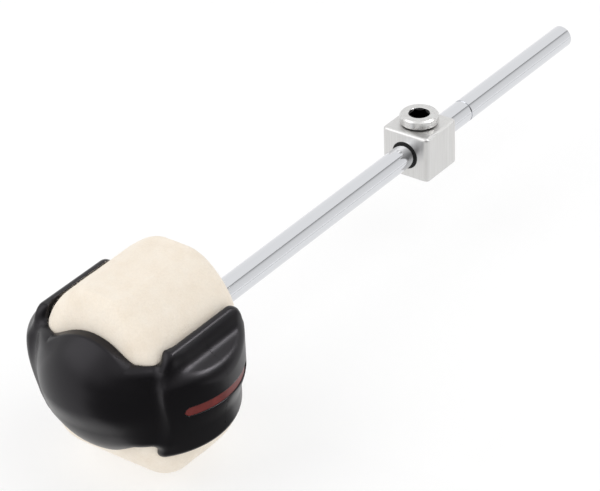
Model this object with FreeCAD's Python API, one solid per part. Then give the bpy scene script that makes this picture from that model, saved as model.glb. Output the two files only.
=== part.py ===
import FreeCAD, Part
import math
import os

from FreeCAD import Vector

# Bass drum beater: a chromed shaft with a sliding memory lock, and a head with two felt pads in a black shell.
# Millimetres. X runs along the shaft from the head to the tail, Z is up through the pads and the lock screw.
# The origin is on the shaft's axis, at the middle of the stretch that a pedal clamps.

# Shaft
shaft_d = 8.0
grip_length = 64.5          # plain stretch between the ring groove and the tail chamfer
tail_chamfer = 0.8
groove_width = 0.6
groove_depth = 0.25

# Places along the shaft, from the middle of the grip
head_reach = 204.25         # to the middle of the felt pads
lock_reach = 58.55          # to the middle of the lock, as photographed

# Felt pads: each rounds over from its own heights to a small crown
felt_length = 44.0          # along the shaft
felt_width = 44.6           # across the shaft
felt_corner = 10.0
top_height = 29.6           # above the shaft's axis
top_round_x = 9.9           # height where the ends begin to round over
top_round_y = 13.4          # height where the sides begin to round over
top_crown_length = 34.0
top_crown_width = 13.4
top_power_x = 1.78          # shape of the rounding, 2 is an ellipse
top_power_y = 1.36
bottom_height = 33.3        # the lower pad stands prouder
bottom_round_x = 13.4
bottom_round_y = 19.0
bottom_crown_length = 4.4
bottom_crown_width = 8.0
bottom_power_x = 2.0
bottom_power_y = 2.6
waist_sections = 3
crown_sections = 8

# Core between the pads
core_thickness = 15.0
felt_fit = 0.1              # gap between a soft piece and what holds it

# Shell
shell_wall = 2.6
band_height = 13.5          # half height at the four corners
nose_radius = 23.8
nose_back = 11.5            # centre of the nose behind the pads' front
arch_radius = 19.3          # rim of the nose where it stands above the band
flank_radius = 27.0
flank_bulge = 10.9          # outer face beyond the pads' side
flank_forward = 3.6         # middle of the flank ahead of the middle of the pads
flank_drop = 15.2           # flat underside of the flank below the shaft's axis
flank_sink = 0.9            # flat foot of the flank inside the pads' side
flank_tip = 3.6             # rounding of the flank's two ends in plan
flank_roll = 3.0            # rounding of the flank's lower edge
shoulder_edge = 0.8         # rounding of the flank's upper outer edge
lip_height = 18.1           # straight lip along the felt, where the flank's slope begins
lip_wall = 1.1
lip_length = 35.6
lip_end = 5.0               # rounding of the lip's ends
parting_forward = 3.0       # where the shell parts, ahead of the middle of the pads
rear_height = 8.2           # half height behind the pads, where the shell is lower
rear_wall = 2.4
boss_d = 15.0
boss_end_d = 12.0
boss_length = 6.0
shaft_gap = 0.2             # shell round the shaft

# Slit in each flank, with the core showing in it
slit_length = 29.0
slit_height = 2.8
slit_recess = 0.4

# Hub inside the core
hub_d = 13.0
hub_length = 28.0
hub_floor = 3.0             # closed end of the hub ahead of the shaft
pin_d = 3.0

# Shell screws
screw_wall = 0.5            # shell between the pads and the screw's head
screw_up = 8.0              # above and below the shaft's axis
screw_d = 2.0
screw_length = 14.0
screw_grip = 6.0            # shell under the screw's head
screw_head_d = 3.2
screw_head = 1.7
screw_slot = 0.6
screw_slot_depth = 1.0
hole_gap = 0.1

# Memory lock
lock_length = 17.6
lock_width = 18.0
lock_height = 16.3
lock_edge = 1.6             # rounded upright edges
lock_round = 1.0            # rounded rims of the top and the underside
bush_wall = 0.8
bush_length = 4.6
bush_gap = 0.04             # bush on the shaft
turn_gap = 0.03             # block on the bush

# Lock screw
lock_thread_d = 8.0
thread_gap = 0.05
lock_head_d = 13.0
lock_head = 3.3
lock_head_gap = 0.35        # under the head
lock_head_edge = 0.5
hex_af = 6.0
hex_depth = 4.3
hex_mouth = 0.2
tip_d = 5.0
tip_pocket = 1.4
tip_gap = 0.02              # tip over the shaft
tip_stand = 0.6             # tip below the end of the thread
tip_fit = 0.03              # tip in its pocket

# Worked out from the sizes above
shaft_r = shaft_d / 2
head_x = -head_reach
lock_x = -lock_reach
tail_x = grip_length / 2 + tail_chamfer
groove_x = -grip_length / 2 - groove_width / 2
core_top = core_thickness / 2
flank_side = felt_width / 2 + flank_bulge - flank_radius
flank_foot = felt_width / 2 - flank_sink
screw_side = felt_width / 2 + felt_fit + screw_wall + screw_head_d / 2 + hole_gap
front_x = head_x - felt_length / 2
rear_x = head_x + felt_length / 2
flank_x = head_x - flank_forward
flank_outer = flank_side + flank_radius
lip_y = felt_width / 2 + lip_wall
parting_x = head_x - parting_forward
hub_front = head_x - hub_length / 2
hub_rear = head_x + hub_length / 2
shaft_front = hub_front + hub_floor
boss_x = rear_x + rear_wall + boss_length
bore_r = shaft_r + bush_gap + bush_wall + turn_gap
along = Vector(1, 0, 0)
across = Vector(0, 1, 0)
up = Vector(0, 0, 1)


def rod(radius, x_start, x_end, y=0.0, z=0.0):
    return Part.makeCylinder(radius, x_end - x_start, Vector(x_start, y, z), along)


def block(x_range, y_range, z_range):
    corner = Vector(x_range[0], y_range[0], z_range[0])
    size = [pair[1] - pair[0] for pair in (x_range, y_range, z_range)]
    return Part.makeBox(*size, corner)


def rounded_rectangle(half_x, half_y, radius, z):
    # Closed wire round the head's middle, with arcs at the corners
    edges = []
    corners = [(1, 1), (-1, 1), (-1, -1), (1, -1)]
    points = []
    for turn, (sign_x, sign_y) in enumerate(corners):
        centre = Vector(head_x + sign_x * (half_x - radius), sign_y * (half_y - radius), z)
        arc = []
        for step in range(3):
            angle = math.radians(90 * turn + 45 * step)
            arc.append(centre + Vector(radius * math.cos(angle), radius * math.sin(angle), 0))
        points.append(arc)
    for turn in range(4):
        edges.append(Part.Arc(*points[turn]).toShape())
        edges.append(Part.makeLine(points[turn][2], points[(turn + 1) % 4][0]))
    return Part.Wire(edges)


def plan_prism(half_x, half_y, radius, z_start, z_end):
    face = Part.Face(rounded_rectangle(half_x, half_y, radius, z_start))
    return face.extrude(Vector(0, 0, z_end - z_start))


def rounded_over(full, crown, start, height, power, z):
    rise = max(0.0, (z - start) / (height - start))
    return crown + (full - crown) * max(0.0, 1 - rise ** power) ** (1 / power)


def felt_pad(side, height, round_x, round_y, crown_length, crown_width, power_x, power_y):
    # Block of felt with a crown; side is +1 for the upper pad and -1 for the lower one
    def section(z):
        length = rounded_over(felt_length, crown_length, round_x, height, power_x, z)
        width = rounded_over(felt_width, crown_width, round_y, height, power_y, z)
        radius = felt_corner * min(length / felt_length, width / felt_width)
        return rounded_rectangle(length / 2, width / 2, radius, side * z)

    low, high = sorted((round_x, round_y))
    waist = [section(low + (high - low) * step / waist_sections) for step in range(waist_sections + 1)]
    crown = []
    for step in range(crown_sections + 1):
        crown.append(section(high + (height - high) * math.sin(math.pi / 2 * step / crown_sections)))
    body = plan_prism(felt_length / 2, felt_width / 2, felt_corner, side * core_top, side * low)
    for wires in (waist, crown):
        body = body.fuse(Part.makeLoft(wires, True, False))
    return body.removeSplitter()


def flank_wall(side):
    # D-shaped in plan, with a flat foot inside the wall and a bulging outer face; above, it slopes from the straight
    # lip down to the outer face, and below it is flat
    past = flank_outer + 1
    drum = Part.makeCylinder(flank_radius, flank_drop + past, Vector(flank_x, flank_side, -flank_drop), up)
    span = (flank_x - flank_radius - 1, flank_x + flank_radius + 1)
    body = drum.common(block(span, (flank_foot, past), (-flank_drop, past)))
    tips = [edge for edge in body.Edges
            if edge.BoundBox.ZLength > flank_drop and abs(edge.CenterOfMass.y - flank_foot) < 0.01]
    body = body.makeFillet(flank_tip, tips)
    corner = lip_y + lip_height
    above = Part.makePolygon([Vector(span[0], y, z) for y, z in (
        (flank_foot - 1, corner - flank_foot + 1), (past, corner - past), (past, past + 1),
        (flank_foot - 1, past + 1), (flank_foot - 1, corner - flank_foot + 1))])
    body = body.cut(Part.Face(above).extrude(Vector(span[1] - span[0], 0, 0)))
    slope = [edge for edge in body.Edges if edge.BoundBox.ZLength > 1
             and all(abs(v.Point.y + v.Point.z - corner) < 0.01 for v in edge.Vertexes)]
    body = body.makeFillet(shoulder_edge, slope)
    lower = [edge for edge in body.Edges if edge.BoundBox.ZLength < 0.01
             and edge.CenterOfMass.z < 0 and edge.CenterOfMass.y > flank_foot + 0.01]
    body = body.makeFillet(flank_roll, lower)
    ends = block((flank_x - lip_length / 2, flank_x + lip_length / 2), (flank_foot - 1, past),
                 (-flank_drop - 1, lip_height))
    tops = [edge for edge in ends.Edges
            if edge.BoundBox.YLength > 1 and abs(edge.CenterOfMass.z - lip_height) < 0.01]
    body = body.common(ends.makeFillet(lip_end, tops))
    return body if side > 0 else body.mirror(Vector(0, 0, 0), across)


def nose():
    # Domed front: full width inside the band, an arch where it stands above it
    ball = Part.makeSphere(nose_radius, Vector(front_x + nose_back, 0, 0))
    reach = nose_radius
    slab = block((front_x - reach, front_x), (-reach, reach), (-band_height, band_height))
    arch = rod(arch_radius, front_x - reach, front_x)
    return ball.common(slab.fuse(arch))


def rear_boss():
    # Tapered boss round the shaft
    return Part.makeCone(boss_d / 2, boss_end_d / 2, boss_length + rear_wall, Vector(rear_x, 0, 0), along)


def slit(side, grow, depth):
    # Round-ended slot through the flank; grow widens it, depth stops short of the flank's outer face
    radius = slit_height / 2 + grow
    half = slit_length / 2 - slit_height / 2
    body = block((parting_x - half, parting_x + half), (0, flank_outer), (-radius, radius))
    for end in (-half, half):
        body = body.fuse(Part.makeCylinder(radius, flank_outer, Vector(parting_x + end, 0, 0), across))
    drum = Part.makeCylinder(flank_radius - depth, 4 * radius, Vector(flank_x, flank_side, -2 * radius), up)
    body = body.removeSplitter().common(drum)
    return body if side > 0 else body.mirror(Vector(0, 0, 0), across)


def screw_places():
    return [(y, z) for y in (-screw_side, screw_side) for z in (-screw_up, screw_up)]


def band():
    # Wall round the pads, lower and thinner behind them
    wall_y = felt_width / 2 + shell_wall
    corner = felt_corner + shell_wall
    tall = plan_prism(felt_length / 2 + shell_wall, wall_y, corner, -band_height, band_height)
    tall = tall.common(block((front_x - shell_wall, parting_x), (-wall_y, wall_y), (-band_height, band_height)))
    low = plan_prism(felt_length / 2 + rear_wall, wall_y, corner, -rear_height, rear_height)
    low = low.common(block((parting_x, rear_x + rear_wall), (-wall_y, wall_y), (-rear_height, rear_height)))
    return tall.fuse(low)


def shell():
    # Whole shell before it is parted: band, nose, rear boss and flanks, hollow for the soft pieces
    body = band()
    for piece in (nose(), rear_boss(), flank_wall(1), flank_wall(-1)):
        body = body.fuse(piece)
    cavity = plan_prism(felt_length / 2 + felt_fit, felt_width / 2 + felt_fit, felt_corner + felt_fit,
                        -bottom_height, bottom_height)
    body = body.cut(cavity)
    body = body.cut(rod(shaft_r + shaft_gap, rear_x - shell_wall, boss_x + shell_wall))
    for side in (1, -1):
        body = body.cut(slit(side, felt_fit, -slit_recess))
    return body.removeSplitter()


def shell_halves():
    # Front and rear halves, with holes for the four screws that join them
    whole = shell()
    box = whole.BoundBox
    pad = shell_wall
    front_box = block((box.XMin - pad, parting_x), (box.YMin - pad, box.YMax + pad), (box.ZMin - pad, box.ZMax + pad))
    front = whole.common(front_box)
    rear = whole.cut(front_box)
    seat = parting_x + screw_grip
    for y, z in screw_places():
        front = front.cut(rod(screw_d / 2, seat - screw_length, parting_x, y, z))
        rear = rear.cut(rod(screw_d / 2 + hole_gap, parting_x, seat, y, z))
        rear = rear.cut(rod(screw_head_d / 2 + hole_gap, seat, box.XMax, y, z))
    return front, rear


def shell_screw(y, z):
    seat = parting_x + screw_grip
    shank = rod(screw_d / 2, seat - screw_length, seat, y, z)
    head = rod(screw_head_d / 2, seat, seat + screw_head, y, z)
    outer = [edge for edge in head.Edges if abs(edge.CenterOfMass.x - seat - screw_head) < 0.01]
    screw = shank.fuse(head.makeFillet(screw_head / 4, outer))
    top = seat + screw_head
    for wide, tall in ((screw_slot, screw_head_d * 0.62), (screw_head_d * 0.62, screw_slot)):
        cross = block((top - screw_slot_depth, top), (y - wide / 2, y + wide / 2), (z - tall / 2, z + tall / 2))
        screw = screw.cut(cross)
    return screw.removeSplitter()


def damper_core():
    # Slab between the pads with a tongue in each slit, and a socket for the hub and its pin
    body = plan_prism(felt_length / 2, felt_width / 2, felt_corner, -core_top, core_top)
    for side in (1, -1):
        body = body.fuse(slit(side, 0.0, slit_recess))
    body = body.cut(rod(hub_d / 2, hub_front, hub_rear))
    body = body.cut(rod(shaft_r + shaft_gap, hub_rear, rear_x + shell_wall))
    return body.removeSplitter()


def hub():
    body = rod(hub_d / 2, hub_front, hub_rear)
    body = body.cut(rod(shaft_r, shaft_front, hub_rear))
    return body.cut(pin())


def pin():
    return Part.makeCylinder(pin_d / 2, hub_d * 0.9, Vector(head_x, 0, -hub_d * 0.45), up)


def shaft():
    body = rod(shaft_r, shaft_front, tail_x)
    ends = [edge for edge in body.Edges if abs(edge.CenterOfMass.x - tail_x) < 0.01]
    body = body.makeChamfer(tail_chamfer, ends)
    ring_start, ring_end = groove_x - groove_width / 2, groove_x + groove_width / 2
    ring = rod(shaft_d, ring_start, ring_end).cut(rod(shaft_r - groove_depth, ring_start, ring_end))
    return body.cut(ring).cut(pin())


def lock_block():
    half_x, half_y, half_z = lock_length / 2, lock_width / 2, lock_height / 2
    body = block((lock_x - half_x, lock_x + half_x), (-half_y, half_y), (-half_z, half_z))
    uprights = [edge for edge in body.Edges if abs(edge.tangentAt(edge.FirstParameter).z) > 0.99]
    body = body.makeFillet(lock_edge, uprights)
    rims = [edge for edge in body.Edges if abs(abs(edge.CenterOfMass.z) - half_z) < 0.01]
    body = body.makeFillet(lock_round, rims)
    body = body.cut(rod(bore_r, lock_x - half_x, lock_x + half_x))
    return body.cut(Part.makeCylinder(lock_thread_d / 2 + thread_gap, half_z, Vector(lock_x, 0, 0), up))


def lock_bush(side):
    outer_end = lock_x + side * lock_length / 2
    start, end = sorted((outer_end, outer_end - side * bush_length))
    return rod(bore_r - turn_gap, start, end).cut(rod(shaft_r + bush_gap, start, end))


def lock_screw():
    tip_bottom = shaft_r + tip_gap
    thread_bottom = tip_bottom + tip_stand
    head_bottom = lock_height / 2 + lock_head_gap
    head_top = head_bottom + lock_head
    body = Part.makeCylinder(lock_thread_d / 2, head_bottom - thread_bottom, Vector(lock_x, 0, thread_bottom), up)
    head = Part.makeCylinder(lock_head_d / 2, lock_head, Vector(lock_x, 0, head_bottom), up)
    rims = [edge for edge in head.Edges if edge.BoundBox.ZLength < 0.01]
    body = body.fuse(head.makeChamfer(lock_head_edge, rims))
    corner = hex_af / math.sqrt(3)
    points = [Vector(lock_x + corner * math.cos(math.radians(60 * k)), corner * math.sin(math.radians(60 * k)),
                     head_top - hex_depth) for k in range(7)]
    body = body.cut(Part.Face(Part.makePolygon(points)).extrude(Vector(0, 0, hex_depth)))
    mouth = Part.makeCone(hex_af / 2, corner + hex_mouth, corner + hex_mouth - hex_af / 2,
                          Vector(lock_x, 0, head_top - (corner + hex_mouth - hex_af / 2)), up)
    body = body.cut(mouth)
    pocket = Part.makeCylinder(tip_d / 2 + tip_fit, tip_pocket + tip_fit, Vector(lock_x, 0, thread_bottom), up)
    return body.cut(pocket).removeSplitter()


def screw_tip():
    return Part.makeCylinder(tip_d / 2, tip_stand + tip_pocket, Vector(lock_x, 0, shaft_r + tip_gap), up)


front_half, rear_half = shell_halves()
pieces = {
    "shaft": shaft(),
    "hub": hub(),
    "hub_pin": pin(),
    "damper_core": damper_core(),
    "felt_top": felt_pad(1, top_height, top_round_x, top_round_y, top_crown_length, top_crown_width,
                         top_power_x, top_power_y),
    "felt_bottom": felt_pad(-1, bottom_height, bottom_round_x, bottom_round_y, bottom_crown_length,
                            bottom_crown_width, bottom_power_x, bottom_power_y),
    "shell_front": front_half,
    "shell_rear": rear_half,
    "shell_screws": Part.makeCompound([shell_screw(y, z) for y, z in screw_places()]),
    "lock_block": lock_block(),
    "lock_bushes": Part.makeCompound([lock_bush(-1), lock_bush(1)]),
    "screw_tip": screw_tip(),
    "lock_screw": lock_screw(),
}

os.makedirs("parts", exist_ok=True)
for name, shape in pieces.items():
    shape.exportStep("parts/%s.step" % name)
    box = shape.BoundBox
    print("%-13s valid %s solids %d volume %.0f  x %.1f..%.1f  y %.1f..%.1f  z %.1f..%.1f" % (
        name, shape.isValid(), len(shape.Solids), shape.Volume,
        box.XMin, box.XMax, box.YMin, box.YMax, box.ZMin, box.ZMax))
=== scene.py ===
import bpy
import math
import numpy as np
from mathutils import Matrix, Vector


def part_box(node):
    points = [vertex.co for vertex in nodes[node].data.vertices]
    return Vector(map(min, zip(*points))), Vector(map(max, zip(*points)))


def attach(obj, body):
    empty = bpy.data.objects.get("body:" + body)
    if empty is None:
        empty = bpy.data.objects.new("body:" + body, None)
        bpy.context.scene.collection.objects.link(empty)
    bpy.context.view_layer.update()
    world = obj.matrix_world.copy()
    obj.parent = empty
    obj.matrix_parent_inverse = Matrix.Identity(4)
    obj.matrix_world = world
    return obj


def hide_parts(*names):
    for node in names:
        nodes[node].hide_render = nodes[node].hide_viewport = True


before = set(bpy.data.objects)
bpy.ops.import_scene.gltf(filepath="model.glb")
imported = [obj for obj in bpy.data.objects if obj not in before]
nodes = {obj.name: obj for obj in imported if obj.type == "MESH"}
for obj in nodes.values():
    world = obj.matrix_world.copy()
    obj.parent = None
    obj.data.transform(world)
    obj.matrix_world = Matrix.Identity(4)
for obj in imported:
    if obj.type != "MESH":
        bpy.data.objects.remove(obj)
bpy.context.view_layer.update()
scene = bpy.context.scene
mm = 0.001


def middleX(node):
    low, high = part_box(node)
    return round((low.x + high.x) / 2 / mm, 3)


headX = middleX("felt_top")          # middle of the pads along the shaft, mm
lockX = middleX("lock_block")        # middle of the lock, mm
print("frame loaded", sorted(nodes))


# small helpers

noiseSpread = (0.3, 0.7)             # where nearly all of a noise's values lie


def newMaterial(name):
    mat = bpy.data.materials.new(name)
    mat.use_nodes = True
    return mat, mat.node_tree, mat.node_tree.nodes["Principled BSDF"]


def addNode(tree, kind, **values):
    node = tree.nodes.new(kind)
    for key, value in values.items():
        if key in node.inputs.keys():
            node.inputs[key].default_value = value
        else:
            setattr(node, key, value)
    return node


def setInputs(node, values):
    for key, value in values.items():
        node.inputs[key].default_value = value


def mapped(tree, scale=(1, 1, 1), turn=(0, 0, 0), shift=(0, 0, 0)):
    # object coordinates, so the grain sticks to the piece
    coord = addNode(tree, "ShaderNodeTexCoord")
    mapping = addNode(tree, "ShaderNodeMapping", Scale=scale, Rotation=turn, Location=shift)
    tree.links.new(coord.outputs["Object"], mapping.inputs["Vector"])
    return mapping.outputs["Vector"]


def noise(tree, vector, scale, detail=3.0, rough=0.5):
    node = addNode(tree, "ShaderNodeTexNoise", Scale=scale, Detail=detail, Roughness=rough)
    tree.links.new(vector, node.inputs["Vector"])
    return node.outputs["Fac"]


def ramp(tree, source, stops):
    node = addNode(tree, "ShaderNodeValToRGB")
    bar = node.color_ramp
    bar.elements[0].position, bar.elements[0].color = stops[0]
    bar.elements[1].position, bar.elements[1].color = stops[-1]
    for place, colour in stops[1:-1]:
        bar.elements.new(place).color = colour
    tree.links.new(source, node.inputs["Fac"])
    return node.outputs["Color"]


def twoTone(tree, source, dark, light):
    return ramp(tree, source, [(noiseSpread[0], dark), (noiseSpread[1], light)])


def span(tree, source, low, high):
    node = addNode(tree, "ShaderNodeMapRange")
    setInputs(node, {"From Min": noiseSpread[0], "From Max": noiseSpread[1], "To Min": low, "To Max": high})
    tree.links.new(source, node.inputs["Value"])
    return node.outputs["Result"]


def combine(tree, operation, first, second):
    # the second may be a plain number
    node = addNode(tree, "ShaderNodeMath", operation=operation)
    tree.links.new(first, node.inputs[0])
    if isinstance(second, float):
        node.inputs[1].default_value = second
    else:
        tree.links.new(second, node.inputs[1])
    return node.outputs["Value"]


def bump(tree, shader, height, strength, distance):
    node = addNode(tree, "ShaderNodeBump", Strength=strength, Distance=distance)
    tree.links.new(height, node.inputs["Height"])
    tree.links.new(node.outputs["Normal"], shader.inputs["Normal"])


def grey(level, tint=(1.0, 1.0, 1.0)):
    return (level * tint[0], level * tint[1], level * tint[2], 1.0)


def dress(obj, mat):
    obj.data.materials.clear()
    obj.data.materials.append(mat)


def meshPiece(name, verts, faces, mat, smooth=True):
    data = bpy.data.meshes.new(name)
    data.from_pydata([tuple(v) for v in verts], [], [tuple(f) for f in faces])
    data.validate()
    data.update()
    obj = bpy.data.objects.new(name, data)
    scene.collection.objects.link(obj)
    if smooth:
        data.polygons.foreach_set("use_smooth", [True] * len(data.polygons))
    data.materials.append(mat)
    return obj


# finishes; a noise is given as scale, detail and roughness, a bump as strength and depth in metres

def satinBlackMoulding():
    look = {"colour": (0.0034, 0.0030, 0.0037, 1), "specular": 0.33, "tint": (0.97, 0.93, 1.0, 1),
            "cloud": (90.0, 4.0, 0.55), "rough": (0.30, 0.36),
            "grain": (5200.0, 2.0, 0.5), "bump": (0.035, 0.00008)}
    mat, tree, shader = newMaterial("satinBlackMoulding")
    setInputs(shader, {"Base Color": look["colour"], "Specular IOR Level": look["specular"],
                       "Specular Tint": look["tint"]})
    cloud = noise(tree, mapped(tree), *look["cloud"])
    tree.links.new(span(tree, cloud, *look["rough"]), shader.inputs["Roughness"])
    bump(tree, shader, noise(tree, mapped(tree), *look["grain"]), *look["bump"])
    return mat


def darkRedElastomer():
    look = {"cloud": (260.0, 4.0), "dark": (0.120, 0.012, 0.010, 1), "light": (0.190, 0.022, 0.018, 1),
            "rough": 0.42, "fine": (3000.0, 2.0), "bump": (0.12, 0.0001)}
    mat, tree, shader = newMaterial("darkRedElastomer")
    setInputs(shader, {"Roughness": look["rough"]})
    cloud = noise(tree, mapped(tree), *look["cloud"])
    tree.links.new(twoTone(tree, cloud, look["dark"], look["light"]), shader.inputs["Base Color"])
    bump(tree, shader, noise(tree, mapped(tree), *look["fine"]), *look["bump"])
    return mat


def creamFelt():
    # pressed wool: soft clouds of tone, matted fibres and a light nap
    look = {"cloud": (140.0, 5.0, 0.6),
            "tones": [(0.25, (0.885, 0.785, 0.655, 1)), (0.5, (0.925, 0.835, 0.715, 1)),
                      (0.78, (0.950, 0.875, 0.765, 1))],
            "fleck": (1500.0, 3.0, 0.7), "fleckTurn": (0.4, 0.9, 0.2), "fleckShare": 0.35,
            "fleckTones": [(0.30, grey(0.86)), (0.62, grey(1.0))],
            "rough": 0.95, "specular": 0.2, "sheen": (0.25, 0.6),
            "lie": ((900, 2600, 900), (0.3, 0.5, 0.8)), "cross": ((2400, 800, 1100), (1.1, 0.2, 0.4)),
            "fibre": (1.0, 4.0, 0.65), "bump": (0.45, 0.0003)}
    mat, tree, shader = newMaterial("creamFelt")
    setInputs(shader, {"Roughness": look["rough"], "Specular IOR Level": look["specular"],
                       "Sheen Weight": look["sheen"][0], "Sheen Roughness": look["sheen"][1]})
    cloud = noise(tree, mapped(tree), *look["cloud"])
    fleck = noise(tree, mapped(tree, turn=look["fleckTurn"]), *look["fleck"])
    shade = addNode(tree, "ShaderNodeMix", data_type="RGBA", blend_type="MULTIPLY")
    shade.inputs["Factor"].default_value = look["fleckShare"]
    tree.links.new(ramp(tree, cloud, look["tones"]), shade.inputs["A"])
    tree.links.new(ramp(tree, fleck, look["fleckTones"]), shade.inputs["B"])
    tree.links.new(shade.outputs["Result"], shader.inputs["Base Color"])
    lie = noise(tree, mapped(tree, *look["lie"]), *look["fibre"])
    cross = noise(tree, mapped(tree, *look["cross"]), *look["fibre"])
    bump(tree, shader, combine(tree, "ADD", lie, cross), *look["bump"])
    return mat


def feltNap():
    look = {"cloud": (300.0, 2.0), "dark": (0.90, 0.81, 0.69, 1), "light": (0.95, 0.885, 0.785, 1),
            "rough": 0.9, "specular": 0.2}
    mat, tree, shader = newMaterial("feltNap")
    setInputs(shader, {"Roughness": look["rough"], "Specular IOR Level": look["specular"]})
    cloud = noise(tree, mapped(tree), *look["cloud"])
    tree.links.new(twoTone(tree, cloud, look["dark"], look["light"]), shader.inputs["Base Color"])
    return mat


def chromePlate():
    # bright plate with the faint long lines of the polishing belt and a little handling haze
    look = {"colour": (0.69, 0.70, 0.725, 1), "hazeStretch": (60, 240, 240), "haze": (1.0, 4.0, 0.6),
            "rough": (0.045, 0.085), "lineStretch": (40, 5200, 5200), "lines": (1.0, 2.0, 0.5),
            "bump": (0.03, 0.00002)}
    mat, tree, shader = newMaterial("chromePlate")
    setInputs(shader, {"Metallic": 1.0, "Base Color": look["colour"]})
    haze = noise(tree, mapped(tree, look["hazeStretch"]), *look["haze"])
    tree.links.new(span(tree, haze, *look["rough"]), shader.inputs["Roughness"])
    bump(tree, shader, noise(tree, mapped(tree, look["lineStretch"]), *look["lines"]), *look["bump"])
    return mat


def steelTone(tree, source, dark, light):
    # steel is a little warm, and more so where it is dark
    return twoTone(tree, source, grey(dark, (1, 0.99, 0.975)), grey(light, (1, 0.995, 0.985)))


def satinSteel(name, streak, rough, tone):
    # machined steel with fine cutting marks along one axis
    look = {"marks": (1.0, 4.0, 0.6), "bump": (0.16, 0.00003)}
    mat, tree, shader = newMaterial(name)
    setInputs(shader, {"Metallic": 1.0})
    marks = noise(tree, mapped(tree, streak), *look["marks"])
    tree.links.new(steelTone(tree, marks, *tone), shader.inputs["Base Color"])
    tree.links.new(span(tree, marks, *rough), shader.inputs["Roughness"])
    bump(tree, shader, marks, *look["bump"])
    return mat


def turnedSteel():
    # rings left by the lathe on the screw's head, and painted shade: the socket's inside is painted near
    # black where its recess lies in shade
    look = {"rings": 900.0, "wander": (0.6, 2.0), "haze": (700.0, 3.0), "rough": (0.24, 0.34),
            "tone": (0.62, 0.70), "socketShadeTone": (0.012, 0.03), "bump": (0.05, 0.00003),
            "flatten": (1, 1, 0.001), "socket": (3.62, 11.72)}    # reach from the axis, height of the mouth
    mat, tree, shader = newMaterial("turnedSteel")
    setInputs(shader, {"Metallic": 1.0})
    across = mapped(tree, look["flatten"], shift=(-lockX * mm, 0, 0))
    rings = addNode(tree, "ShaderNodeTexWave", wave_type="RINGS", rings_direction="Z", Scale=look["rings"],
                    Distortion=look["wander"][0], Detail=look["wander"][1])
    tree.links.new(across, rings.inputs["Vector"])
    haze = noise(tree, mapped(tree), *look["haze"])
    away = addNode(tree, "ShaderNodeVectorMath", operation="LENGTH")
    tree.links.new(across, away.inputs[0])
    place = addNode(tree, "ShaderNodeSeparateXYZ")
    tree.links.new(mapped(tree), place.inputs["Vector"])
    reach, mouth = look["socket"]
    # painted shade: inside the hex socket, below its mouth, the colour is painted near black
    socketShadeMask = combine(tree, "MULTIPLY", combine(tree, "LESS_THAN", away.outputs["Value"], reach * mm),
                       combine(tree, "LESS_THAN", place.outputs["Z"], mouth * mm))
    tone = addNode(tree, "ShaderNodeMix", data_type="RGBA")
    tree.links.new(socketShadeMask, tone.inputs["Factor"])
    tree.links.new(steelTone(tree, haze, *look["tone"]), tone.inputs["A"])
    # the near-black tones of the painted shade in the socket
    dark, light = look["socketShadeTone"]
    tree.links.new(twoTone(tree, haze, grey(dark), grey(light)), tone.inputs["B"])
    tree.links.new(tone.outputs["Result"], shader.inputs["Base Color"])
    tree.links.new(span(tree, haze, *look["rough"]), shader.inputs["Roughness"])
    bump(tree, shader, rings.outputs["Fac"], *look["bump"])
    return mat


def blackNylon():
    look = {"cloud": (900.0, 3.0), "dark": grey(0.008), "light": grey(0.014), "rough": 0.55, "specular": 0.22,
            "bump": (0.1, 0.00005)}
    mat, tree, shader = newMaterial("blackNylon")
    setInputs(shader, {"Roughness": look["rough"], "Specular IOR Level": look["specular"]})
    cloud = noise(tree, mapped(tree), *look["cloud"])
    tree.links.new(twoTone(tree, cloud, look["dark"], look["light"]), shader.inputs["Base Color"])
    bump(tree, shader, cloud, *look["bump"])
    return mat


def blackOxide():
    look = {"cloud": (1200.0, 3.0), "dark": grey(0.03), "light": grey(0.06), "metal": 0.8,
            "rough": (0.3, 0.45)}
    mat, tree, shader = newMaterial("blackOxide")
    setInputs(shader, {"Metallic": look["metal"]})
    cloud = noise(tree, mapped(tree), *look["cloud"])
    tree.links.new(twoTone(tree, cloud, look["dark"], look["light"]), shader.inputs["Base Color"])
    tree.links.new(span(tree, cloud, *look["rough"]), shader.inputs["Roughness"])
    return mat


blackShell = satinBlackMoulding()
redCore = darkRedElastomer()
felt = creamFelt()
nap = feltNap()
chrome = chromePlate()
blockSteel = satinSteel("blockSteel", streak=(2600, 2600, 60), rough=(0.34, 0.44), tone=(0.62, 0.72))
plainSteel = satinSteel("plainSteel", streak=(80, 2200, 2200), rough=(0.25, 0.4), tone=(0.45, 0.55))
headSteel = turnedSteel()
nylon = blackNylon()
oxide = blackOxide()
print("finishes made")


# CAD pieces that keep their shape

for node, mat in {"shaft": chrome, "hub": plainSteel, "hub_pin": plainSteel, "damper_core": redCore,
                  "shell_screws": oxide, "lock_block": blockSteel, "lock_bushes": nylon, "screw_tip": nylon,
                  "lock_screw": headSteel}.items():
    dress(nodes[node], mat)
print("metal and rubber dressed")


# sizes of the felt pads, mm; the shell makes room for them
# round, crown and power are along the shaft and across it

padSize = {"length": 44.0, "width": 44.6, "corner": 10.0, "foot": 7.5,
           "rings": 40, "around": 128, "closing": (0.75, 0.5, 0.25), "dome": 0.12}
pads = {
    "feltTop": {"node": "felt_top", "side": 1, "height": 29.65, "round": (9.9, 13.4), "crown": (34.0, 13.4),
                "power": (1.78, 1.36), "seed": 3},
    "feltBottom": {"node": "felt_bottom", "side": -1, "height": 33.35, "round": (13.4, 19.0),
                   "crown": (4.4, 8.0), "power": (2.0, 2.6), "seed": 8},
}
padX, padY = padSize["length"] / 2, padSize["width"] / 2


# moulded shell, drawn as a field of distances and skinned; mm from the middle of the pads

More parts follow.
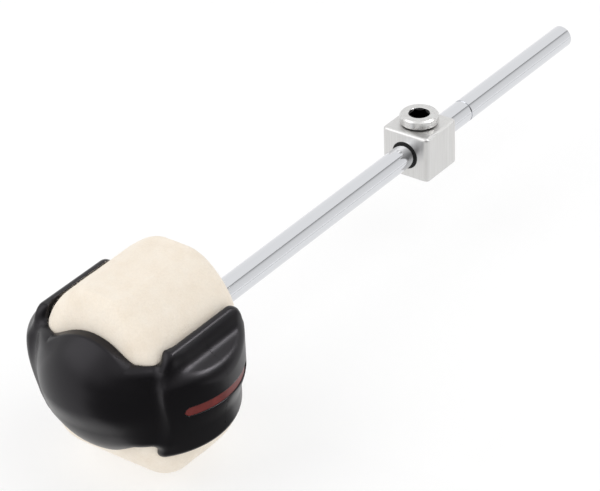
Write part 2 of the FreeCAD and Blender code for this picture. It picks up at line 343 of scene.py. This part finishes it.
shell = {
    # wall round the pads, lower behind them
    "wall": 2.6, "bandHeight": 12.8, "bandEdge": 2.0, "rearWall": 2.4, "rearHeight": 8.2, "rearStep": (8, 15),
    # domed nose and its arch
    "noseRadius": 23.8, "noseX": -10.5, "noseFlat": (1.25, 8), "noseWide": 1.046, "noseRoot": 4,
    "noseFillet": 4.0, "archRadius": 19.2, "archEdge": 0.3, "ledgeFillet": 0.6,
    # flanks seen from above
    "flankRadius": 27.15, "flankX": -3.6, "flankY": 6.2, "flankFront": (24.6, 3.2, 0.002, 0.0147),
    "flankRear": (22.0, 2.5), "flankBarrel": (0.0099, 0.02, 4.57), "flankLow": (1.75, 8),
    "flankBack": (-24, 10), "flankFillet": (1.0, 1.8), "filletRun": (-16, -8),
    # their dished slope above and their rolled edge below
    "lip": (24.1, 18.1), "lipHalf": 18.4, "lipX": -2.4, "lipEnd": 5.0, "lipSpread": 0.8,
    "lipEdge": (0.6, 2.4), "lipEdgeRun": (5, 1), "topRoll": 2.2, "dish": (1.6, 6.3, 3.4),
    "frontFall": (11.0, 11.0, 3.0), "fallRun": (0.5, 5), "bottom": (18.83, 0.15, -20), "bottomRoll": 3.0,
    # boss round the shaft
    "boss": (7.5, 6.0, 30.4), "bossRoot": 2, "bossEdge": 0.6, "bossFillet": 1.5,
    # what is cut out: room for the pads, bore of the shaft, slits, counterbores
    "roomGap": 0.1, "roomTop": 29, "roomEdge": 0.4, "bore": (4.2, 0.3),
    "slit": (13.1, 1.5), "slitFrom": 12, "slitEdge": 0.35, "screw": (24.6, 8.0, 1.7, 3.0),
}
parting = {"x": -3.0, "gap": 0.02, "edge": 0.03}
halves = {                           # low and high bound the grid; the parting falls inside a cell
    "shellFront": {"node": "shell_front", "side": -1,
                   "low": (-35.635, -34, -20.6), "high": (-2, 34, 20.6)},
    "shellRear": {"node": "shell_rear", "side": 1,
                  "low": (-4.115, -34, -20.6), "high": (31.4, 34, 20.6)},
}
skin = {"cell": 0.45,                # mm between the points of the field
        "passes": 3, "stride": 0.4, "flattest": 0.2,
        "rimPasses": 4, "rimFlattest": 0.3, "rimReach": 0.3, "outside": 0.15, "normalStep": 0.05}
farInside = -9                       # a distance that cuts nothing


def convexEdge(a, b, r):
    return np.minimum(-r, np.maximum(a, b)) + np.hypot(np.maximum(r + a, 0), np.maximum(r + b, 0))


def filletJoin(a, b, r):
    return np.maximum(r, np.minimum(a, b)) - np.hypot(np.maximum(r - a, 0), np.maximum(r - b, 0))


def roundedRect(x, y, halfX, halfY, r):
    qx, qy = np.abs(x) - halfX + r, np.abs(y) - halfY + r
    return np.hypot(np.maximum(qx, 0), np.maximum(qy, 0)) + np.minimum(np.maximum(qx, qy), 0) - r


def smoothStep(low, high, x):
    t = np.clip((x - low) / (high - low), 0, 1)
    return t * t * (3 - 2 * t)


def roundedOver(full, crown, start, height, power, z):
    # width of a pad at the height z
    rise = np.clip((z - start) / (height - start), 0, 1)
    return crown + (full - crown) * (1 - rise ** power) ** (1 / power)


def bandField(x, y, z):
    s = shell
    wallX = padX + np.where(x < 0, s["wall"], s["rearWall"])
    plan = roundedRect(x, y, wallX, padY + s["wall"], padSize["corner"] + s["wall"])
    height = s["bandHeight"] + (s["rearHeight"] - s["bandHeight"]) * smoothStep(*s["rearStep"], x)
    return convexEdge(plan, np.abs(z) - height, s["bandEdge"])


def noseField(x, y, z):
    # a ball, a little flatter in front below the axis
    s = shell
    flat, depth = s["noseFlat"]
    flatter = s["noseRadius"] / (s["noseRadius"] - flat * smoothStep(0, depth, -z))
    ball = np.sqrt(((x - s["noseX"]) * flatter) ** 2 + (y / s["noseWide"]) ** 2 + z ** 2) - s["noseRadius"]
    reach = filletJoin(np.hypot(y, z) - s["archRadius"], np.abs(z) - s["bandHeight"], s["ledgeFillet"])
    return np.maximum(convexEdge(ball, reach, s["archEdge"]), x + padX - s["noseRoot"])


def flankPlan(x, y, z):
    # a barrelled round, whose front end turns in to the nose on a smaller round
    s = shell
    ay = np.abs(y)
    lowBarrel, topBarrel, widest = s["flankBarrel"]
    low, depth = s["flankLow"]
    back = smoothStep(*s["flankBack"], x)
    barrel = np.where(z > widest, topBarrel, lowBarrel) * (z - widest) ** 2
    loss = (1 - back) * barrel + back * low * smoothStep(0, depth, -z)
    px, py = x - s["flankX"], ay - s["flankY"]
    drum = np.hypot(px, py) - s["flankRadius"] + loss
    tipY, tipR, topCling, lowCling = s["flankFront"]
    ty = tipY - np.where(z > 0, topCling, lowCling) * z * z - s["flankY"]
    tx = -np.sqrt(np.maximum((s["flankRadius"] - loss - tipR) ** 2 - ty ** 2, 0.01))     # never quite zero
    front = np.where(tx * py - ty * px > 0, np.hypot(px - tx, py - ty) - tipR, drum)
    foot, footR = s["flankRear"]
    return np.where(x < s["flankX"], front, convexEdge(drum, foot - ay, footR))


def flankField(x, y, z):
    # above, a slope of 45 degrees from the straight lip down to the round, a little dished
    # below, a nearly flat underside with a rolled edge
    s = shell
    plan, ay = flankPlan(x, y, z), np.abs(y)
    lipY, lipZ = s["lip"]
    fall = (ay - lipY + lipZ - z) / math.sqrt(2)         # how far down the slope
    depth, place, width = s["dish"]
    dish = depth * np.exp(-((fall - place) / width) ** 2)
    start, run, drop = s["frontFall"]                    # it falls away towards the front
    dish = dish + drop * np.clip((-start - x) / run, 0, 1) ** 2 * smoothStep(*s["fallRun"], fall)
    slope = (ay - lipY + z - lipZ) / math.sqrt(2) + dish
    along = np.abs(x - s["lipX"])
    half = s["lipHalf"] + s["lipSpread"] * np.maximum(lipZ - s["lipEnd"] - z, 0)
    end = convexEdge(along - half, z - lipZ, s["lipEnd"])
    crisp, rounder = s["lipEdge"]                        # a crisp lip, rounder at its ends
    before, after = s["lipEdgeRun"]
    edge = crisp + rounder * smoothStep(s["lipHalf"] - before, s["lipHalf"] + after, along)
    above = convexEdge(convexEdge(plan, slope, s["topRoll"]), end, edge)
    height, rise, levelX = s["bottom"]
    below = convexEdge(plan, -z - height + rise * (x - levelX), s["bottomRoll"])
    return np.where(z > 0, above, below)


def bossField(x, y, z):
    s = shell
    startR, endR, endX = s["boss"]
    cone = np.hypot(y, z) - startR + (startR - endR) * (x - padX) / (endX - padX)
    return convexEdge(cone, np.maximum(x - endX, padX - s["bossRoot"] - x), s["bossEdge"])


def roomField(x, y, z):
    # the upper pad's form, straight down to the lower one
    pad, gap = pads["feltTop"], shell["roomGap"]
    crown, start, power = pad["crown"][0], pad["round"][0], pad["power"][0]
    height = np.clip(z, 0, shell["roomTop"])
    padHalf = roundedOver(padSize["length"], crown, start, pad["height"], power, height) / 2
    return roundedRect(x, y, np.minimum(padX, padHalf) + gap, padY + gap, padSize["corner"] + gap)


def shellField(x, y, z):
    s = shell
    ay, az = np.abs(y), np.abs(z)
    # the nose runs into the wall and the flanks at mid height
    body = filletJoin(bandField(x, y, z), noseField(x, y, z), s["noseFillet"])
    least, more = s["flankFillet"]
    body = filletJoin(body, flankField(x, y, z), least + more * (1 - smoothStep(*s["filletRun"], x)))
    body = filletJoin(body, bossField(x, y, z), s["bossFillet"])
    body = convexEdge(body, -roomField(x, y, z), s["roomEdge"])
    boreR, boreEdge = s["bore"]
    body = convexEdge(body, np.where(x > 0, boreR - np.hypot(y, z), farInside), boreEdge)
    slitHalf, slitR = s["slit"]
    slot = np.hypot(np.maximum(np.abs(x - parting["x"]) - slitHalf, 0), z) - slitR
    body = convexEdge(body, np.where(ay > s["slitFrom"], -slot, farInside), s["slitEdge"])
    screwY, screwZ, screwR, seat = s["screw"]
    counterbore = np.maximum(np.hypot(ay - screwY, az - screwZ) - screwR, seat - x)
    return np.maximum(body, -counterbore)


def halfField(side):
    def field(x, y, z):
        past = side * (parting["x"] - x) + parting["gap"]
        return convexEdge(shellField(x, y, z), past, parting["edge"])
    return field


def fieldSlope(field, points, step=0.02):
    rises = [field(*(points + d).T) - field(*(points - d).T) for d in np.eye(3) * step]
    return np.stack(rises, 1) / (2 * step)


def crossedCells(inside):
    # cells that have some corners inside and some outside
    shape = inside.shape
    count = np.zeros([n - 1 for n in shape], int)
    for i, j, k in np.ndindex(2, 2, 2):
        count += inside[i:shape[0] - 1 + i, j:shape[1] - 1 + j, k:shape[2] - 1 + k]
    return (count > 0) & (count < 8)


def cellMiddles(values, cells):
    # mean of the places where the surface cuts a cell's edges
    total, weight = np.zeros((len(cells), 3)), np.zeros(len(cells))
    for axis in range(3):
        for i, j in np.ndindex(2, 2):
            start = np.insert([i, j], axis, 0)
            end = np.insert([i, j], axis, 1)
            a = values[tuple((cells + start).T)]
            b = values[tuple((cells + end).T)]
            cut = (a < 0) != (b < 0)
            t = np.where(cut, a / np.where(cut, a - b, 1), 0)
            total += cut[:, None] * (start + t[:, None] * (end - start))
            weight += cut
    return total / weight[:, None]


def cellFaces(inside, index):
    # a quad round each edge of the grid that the surface cuts
    shape = inside.shape
    faces = []
    for axis in range(3):
        first = [slice(1, n - 1) for n in shape]
        second = [slice(1, n - 1) for n in shape]
        first[axis], second[axis] = slice(0, shape[axis] - 1), slice(1, shape[axis])
        before, after = inside[tuple(first)], inside[tuple(second)]
        edges = np.argwhere(before != after)
        base = edges + np.array([0 if a == axis else 1 for a in range(3)])
        b, c = (axis + 1) % 3, (axis + 2) % 3
        ring = []
        for db, dc in ((-1, -1), (0, -1), (0, 0), (-1, 0)):
            cellAt = base.copy()
            cellAt[:, b] += db
            cellAt[:, c] += dc
            ring.append(index[tuple(cellAt.T)])
        quads = np.stack(ring, 1)
        out = before[tuple(edges.T)]
        quads[~out] = quads[~out][:, ::-1]
        faces.append(quads)
    return np.concatenate(faces)


def skinField(field, low, high):
    # one point in each cell that the surface crosses, pulled onto the surface
    cell = skin["cell"]
    axes = [np.arange(a, b + cell, cell) for a, b in zip(low, high)]
    values = field(*np.meshgrid(*axes, indexing="ij"))
    inside = values < 0
    crossed = crossedCells(inside)
    index = np.full(crossed.shape, -1)
    index[crossed] = np.arange(crossed.sum())
    cells = np.argwhere(crossed)
    points = np.array(low) + cell * (cells + cellMiddles(values, cells))
    stride = skin["stride"] * cell
    for _ in range(skin["passes"]):
        value, slope = field(*points.T), fieldSlope(field, points)
        move = value / np.maximum((slope ** 2).sum(1), skin["flattest"])
        points -= np.clip(move, -stride, stride)[:, None] * slope
    return points, cellFaces(inside, index)


def flattenRim(points, rim):
    # points at the parting go into its plane, and stay on the shell's surface
    near = np.abs(points[:, 0] - rim) < skin["rimReach"] * skin["cell"]
    onRim = near & (np.abs(shellField(*points.T)) < skin["rimReach"])
    points[onRim, 0] = rim
    for _ in range(skin["rimPasses"]):
        edge = points[onRim]
        slope = fieldSlope(shellField, edge) * np.array([0, 1, 1])
        move = shellField(*edge.T) / np.maximum((slope ** 2).sum(1), skin["rimFlattest"])
        points[onRim] = edge - move[:, None] * slope


def surfaceNormals(field, points):
    # the parting itself leaves no rounded edge
    outside = np.abs(shellField(*points.T)) < skin["outside"]
    whole, cut = (fieldSlope(f, points, skin["normalStep"]) for f in (shellField, field))
    normals = np.where(outside[:, None], whole, cut)
    return normals / np.maximum(np.linalg.norm(normals, axis=1, keepdims=True), 1e-6)


for name, half in halves.items():
    field = halfField(half["side"])
    points, faces = skinField(field, half["low"], half["high"])
    flattenRim(points, parting["x"] + half["side"] * parting["gap"])
    normals = surfaceNormals(field, points)
    piece = meshPiece(name, (points + np.array([headX, 0, 0])) * mm, faces, blackShell)
    piece.data.normals_split_custom_set_from_vertices(normals.tolist())
    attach(piece, "beater")
    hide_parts(half["node"])
    print(name, len(points), "points")


# felt pads and their loose wool

swell = {"waves": 14, "pitch": 0.22, "height": 0.03, "above": 12, "turn": 6.3}
napSize = {"count": 9000, "length": (0.35, 1.0), "width": 0.035, "above": 13.5, "rise": (0.05, 0.35),
           "bend": 0.8, "taper": 0.8, "sunk": 0.05, "seedStep": 20}


def ringPoints(length, width, r, z, count, cornerSteps=16):
    # evenly spaced points round a rounded rectangle
    a, b = length / 2 - r, width / 2 - r
    path = []
    for cx, cy, turn in ((a, b, 0), (-a, b, 90), (-a, -b, 180), (a, -b, 270)):
        for step in range(cornerSteps + 1):
            angle = math.radians(turn + 90 * step / cornerSteps)
            path.append((cx + r * math.cos(angle), cy + r * math.sin(angle)))
    path = np.array(path + path[:1])
    far = np.concatenate([[0], np.cumsum(np.hypot(*np.diff(path, axis=0).T))])
    at = np.linspace(0, far[-1], count, endpoint=False)
    return np.stack([np.interp(at, far, path[:, 0]), np.interp(at, far, path[:, 1]), np.full(count, z)], 1)


def padRings(pad):
    s = padSize
    low, top = min(pad["round"]), pad["height"]
    heights = [s["foot"], (s["foot"] + low) / 2]
    heights += [low + (top - low) * math.sin(math.pi / 2 * k / s["rings"]) for k in range(s["rings"] + 1)]
    rings = []
    for z in heights:
        ways = zip((s["length"], s["width"]), pad["crown"], pad["round"], pad["power"])
        length, width = (roundedOver(full, crown, start, top, power, z) for full, crown, start, power in ways)
        r = s["corner"] * min(length / s["length"], width / s["width"])
        rings.append(ringPoints(length, width, r, z, s["around"]))
    flat = rings[-1]
    for share in s["closing"]:                       # close the crown with shrinking rings
        rings.append(flat * np.array([share, share, 1]) + np.array([0, 0, s["dome"] * (1 - share)]))
    return rings


def makePad(name, pad):
    rings = padRings(pad)
    n, m = padSize["around"], len(rings)
    verts = np.concatenate(rings + [np.array([[0, 0, rings[-1][0][2]], [0, 0, padSize["foot"]]])])
    faces = [(i * n + j, i * n + (j + 1) % n, (i + 1) * n + (j + 1) % n, (i + 1) * n + j)
             for i in range(m - 1) for j in range(n)]
    faces += [((m - 1) * n + j, (m - 1) * n + (j + 1) % n, m * n) for j in range(n)]
    faces += [((j + 1) % n, j, m * n + 1) for j in range(n)]
    # pressed felt is never quite true: low swells of a few hundredths
    rng = np.random.default_rng(pad["seed"])
    for _ in range(swell["waves"]):
        wave = rng.normal(0, swell["pitch"], 3)
        lift = np.sin(verts @ wave + rng.uniform(0, swell["turn"]))
        verts[:, 2] += swell["height"] * lift * (verts[:, 2] > swell["above"])
    verts = verts * np.array([1, 1, pad["side"]]) + np.array([headX, 0, 0])
    if pad["side"] < 0:
        faces = [f[::-1] for f in faces]
    piece = meshPiece(name, verts * mm, faces, felt)
    smooth = piece.modifiers.new("soften", "SUBSURF")
    smooth.levels = smooth.render_levels = 1
    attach(piece, "beater")
    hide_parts(pad["node"])
    return piece


def makeNap(name, pad, piece):
    # loose ends of wool that stand off the pad
    s = napSize
    rng = np.random.default_rng(pad["seed"] + s["seedStep"])
    polygons = piece.data.polygons
    centres = np.array([p.center for p in polygons])
    normals = np.array([p.normal for p in polygons])
    areas = np.array([p.area for p in polygons]) * (np.abs(centres[:, 2]) > s["above"] * mm)
    pick = rng.choice(len(areas), s["count"], p=areas / areas.sum())
    spread = np.sqrt(areas[pick])[:, None]
    root = centres[pick] + rng.uniform(-0.5, 0.5, (len(pick), 3)) * spread
    normal = normals[pick]
    lean = rng.normal(0, 1, (len(pick), 3))
    lean -= (lean * normal).sum(1, keepdims=True) * normal
    lean /= np.linalg.norm(lean, axis=1, keepdims=True)
    length = rng.uniform(*s["length"], len(pick))[:, None] * mm
    rise = rng.uniform(*s["rise"], len(pick))[:, None]
    wide = np.cross(normal, lean) * s["width"] / 2 * mm
    middle = root + lean * length * 0.5 + normal * length * rise * s["bend"]
    tip = root + lean * length + normal * length * rise
    root = root - normal * s["sunk"] * mm
    slim = wide * s["taper"]
    verts = np.stack([root - wide, root + wide, middle + slim, middle - slim, tip], 1).reshape(-1, 3)
    base = np.arange(len(pick)) * 5                  # five points to a fibre
    faces = [(b, b + 1, b + 2, b + 3) for b in base] + [(b + 3, b + 2, b + 4) for b in base]
    fibres = meshPiece(name, verts, faces, nap)
    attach(fibres, "beater")
    return fibres


for name, pad in pads.items():
    piece = makePad(name, pad)
    makeNap(name + "Nap", pad, piece)
    print(name, "made")


# studio, in metres

studio = {"world": 0.84, "seenWorld": 1.0, "aim": (-0.12, 0, 0),
          "keyLight": {"place": (-1.10, 0.78, 0.98), "size": 1.2, "power": 5.2},
          "fillLight": {"place": (0.10, -0.70, 1.25), "size": 1.0, "power": 2.4}}
floorLook = {"z": -34.3 * mm,        # just under the lower pad's wool
             "radius": 3.0, "corners": 96, "colour": (0.45, 0.45, 0.45, 1), "rough": 0.6, "specular": 0.1,
             "glow": 0.55}


def makeWorld():
    # the camera and the reflections see plain white, the light on the pieces is a little lower
    world = bpy.data.worlds.new("studioWorld")
    scene.world = world
    world.use_nodes = True
    tree = world.node_tree
    back = tree.nodes["Background"]
    back.inputs["Color"].default_value = (1, 1, 1, 1)
    rays = addNode(tree, "ShaderNodeLightPath").outputs
    seen = combine(tree, "MAXIMUM", rays["Is Camera Ray"], rays["Is Glossy Ray"])
    seen = combine(tree, "MAXIMUM", seen, rays["Is Transmission Ray"])
    level = addNode(tree, "ShaderNodeMapRange")
    setInputs(level, {"To Min": studio["world"], "To Max": studio["seenWorld"]})
    tree.links.new(seen, level.inputs["Value"])
    tree.links.new(level.outputs["Result"], back.inputs["Strength"])


def makeFloor():
    s = floorLook
    mat, tree, shader = newMaterial("paleFloor")
    setInputs(shader, {"Base Color": s["colour"], "Roughness": s["rough"],
                       "Specular IOR Level": s["specular"],
                       "Emission Color": (1, 1, 1, 1), "Emission Strength": s["glow"]})
    bpy.ops.mesh.primitive_circle_add(vertices=s["corners"], radius=s["radius"], fill_type="NGON",
                                      location=(0, 0, s["z"]))
    floor = bpy.context.object
    floor.name = "floor"
    dress(floor, mat)


def softbox(name, place, size, power):
    data = bpy.data.lights.new(name, "AREA")
    data.shape = "RECTANGLE"
    data.size = data.size_y = size
    data.energy = power
    lamp = bpy.data.objects.new(name, data)
    scene.collection.objects.link(lamp)
    lamp.location = place
    lamp.rotation_euler = (Vector(studio["aim"]) - Vector(place)).to_track_quat("-Z", "Y").to_euler()


def card(name, rows, tones):
    # a card that only reflections see; its tone runs from the first edge of the sheet to the last
    mat = bpy.data.materials.new(name)
    mat.use_nodes = True
    tree = mat.node_tree
    tree.nodes.remove(tree.nodes["Principled BSDF"])
    glow = addNode(tree, "ShaderNodeEmission")
    tree.links.new(glow.outputs["Emission"], tree.nodes["Material Output"].inputs["Surface"])
    if len(tones) == 1:
        glow.inputs["Color"].default_value = grey(tones[0][1])
    else:
        sheet = addNode(tree, "ShaderNodeUVMap", uv_map="sheet")
        parts = addNode(tree, "ShaderNodeSeparateXYZ")
        tree.links.new(sheet.outputs["UV"], parts.inputs["Vector"])
        stops = [(place, grey(tone)) for place, tone in tones]
        tree.links.new(ramp(tree, parts.outputs["Y"], stops), glow.inputs["Color"])
    verts = [v for row in rows for v in row]
    faces = [(2 * i, 2 * i + 1, 2 * i + 3, 2 * i + 2) for i in range(len(rows) - 1)]
    obj = meshPiece(name, verts, faces, mat, smooth=False)
    layer = obj.data.uv_layers.new(name="sheet")
    for loop in obj.data.loops:
        layer.data[loop.index].uv = (loop.vertex_index % 2, (loop.vertex_index // 2) / (len(rows) - 1))
    for kind in ("camera", "diffuse", "shadow", "transmission", "volume_scatter"):
        setattr(obj, "visible_" + kind, False)


def uprightRows(left, right, low, high):
    return [((*left, z), (*right, z)) for z in (low, high)]


def levelRows(z, *edges):
    return [((*left, z), (*right, z)) for left, right in edges]


def sheetRows(arc):
    # grey sheet bowed round the shaft, cut back at the head so that the shell doesn't mirror it
    rows = []
    for turn, reach in arc["edges"]:
        y, z = reach * math.cos(math.radians(turn)), reach * math.sin(math.radians(turn))
        rows.append(((arc["start"] + arc["slant"] * reach, y, z), (arc["end"], y, z)))
    return rows


cardFoot, nearFloor, lineZ = -0.03, -0.0332, -0.033            # heights just over the floor
shaftArc = {"edges": ((119, 0.26), (126, 0.25), (135, 0.24), (150, 0.21), (170, 0.17), (188, 0.13)),
            "start": -0.194, "slant": 0.88, "end": 0.34}       # degrees and metres from the shaft's axis
cards = {
    # dark ones on the camera's side, for the black shell
    "sideCard": (uprightRows((-1.00, -0.16), (0.30, -0.78), cardFoot, 0.70),
                 [(0, 0.08), (0.2, 0.10), (0.45, 0.45), (1, 0.7)]),
    "farCard": (uprightRows((0.30, -0.78), (1.00, -1.11), cardFoot, 0.80),
                [(0, 0.06), (0.45, 0.08), (0.8, 0.25), (1, 0.7)]),
    "lowCard": (uprightRows((-1.05, 0.22), (-1.00, -0.16), cardFoot, 0.30),
                [(0, 0.06), (0.4, 0.12), (1, 0.9)]),
    # a small bright one for the ridge along the near flank
    "ridgeCard": (levelRows(0.42, ((0.12, -0.62), (0.28, -0.43)))
                  + levelRows(0.72, ((0.14, -0.55), (0.30, -0.335))), [(0, 17.0)]),
    # dark ones just over the floor, for the flank and the nose's underside
    "farFloorCard": (levelRows(nearFloor, ((-0.02, -0.34), (0.60, -0.50)), ((-0.13, -0.62), (1.00, -1.10))),
                     [(0, 0.5), (0.4, 0.10), (1, 0.08)]),
    "frontCard": (levelRows(nearFloor, ((-0.40, 0.045), (-0.172, -0.034)),
                            ((-0.40, 0.022), (-0.172, -0.040)), ((-0.95, 0.02), (-0.13, -0.60))),
                  [(0, 0.8), (0.5, 0.18), (1, 0.06)]),
    # the sheet's upper edge draws the dark line on the chrome, the strip on the floor the thin one
    "shaftCard": (sheetRows(shaftArc), [(0, 0.25), (0.25, 0.55), (0.5, 0.85), (1, 0.95)]),
    "lineCard": (levelRows(lineZ, ((-0.16, -0.081), (0.34, -0.081)), ((-0.16, -0.091), (0.34, -0.091))),
                 [(0, 0.45)]),
}

makeWorld()
makeFloor()
for name in ("keyLight", "fillLight"):
    softbox(name, **studio[name])
for name, (rows, tones) in cards.items():
    card(name, rows, tones)

# fitted to the edges of the rod, the lock and the head in the photo
view = {"place": (-0.68095, -0.41980, 0.43028), "turn": (57.9999, 2.0213, -54.1303), "sensor": 36.0,
        "lens": 156.22, "clip": (0.05, 20)}
camera = bpy.data.objects.new("photoCamera", bpy.data.cameras.new("photoCamera"))
scene.collection.objects.link(camera)
camera.location = view["place"]
camera.rotation_euler = [math.radians(a) for a in view["turn"]]
camera.data.sensor_width = view["sensor"]
camera.data.lens = view["lens"]
camera.data.clip_start, camera.data.clip_end = view["clip"]
scene.camera = camera
scene.view_settings.view_transform = "Standard"
print("studio set")
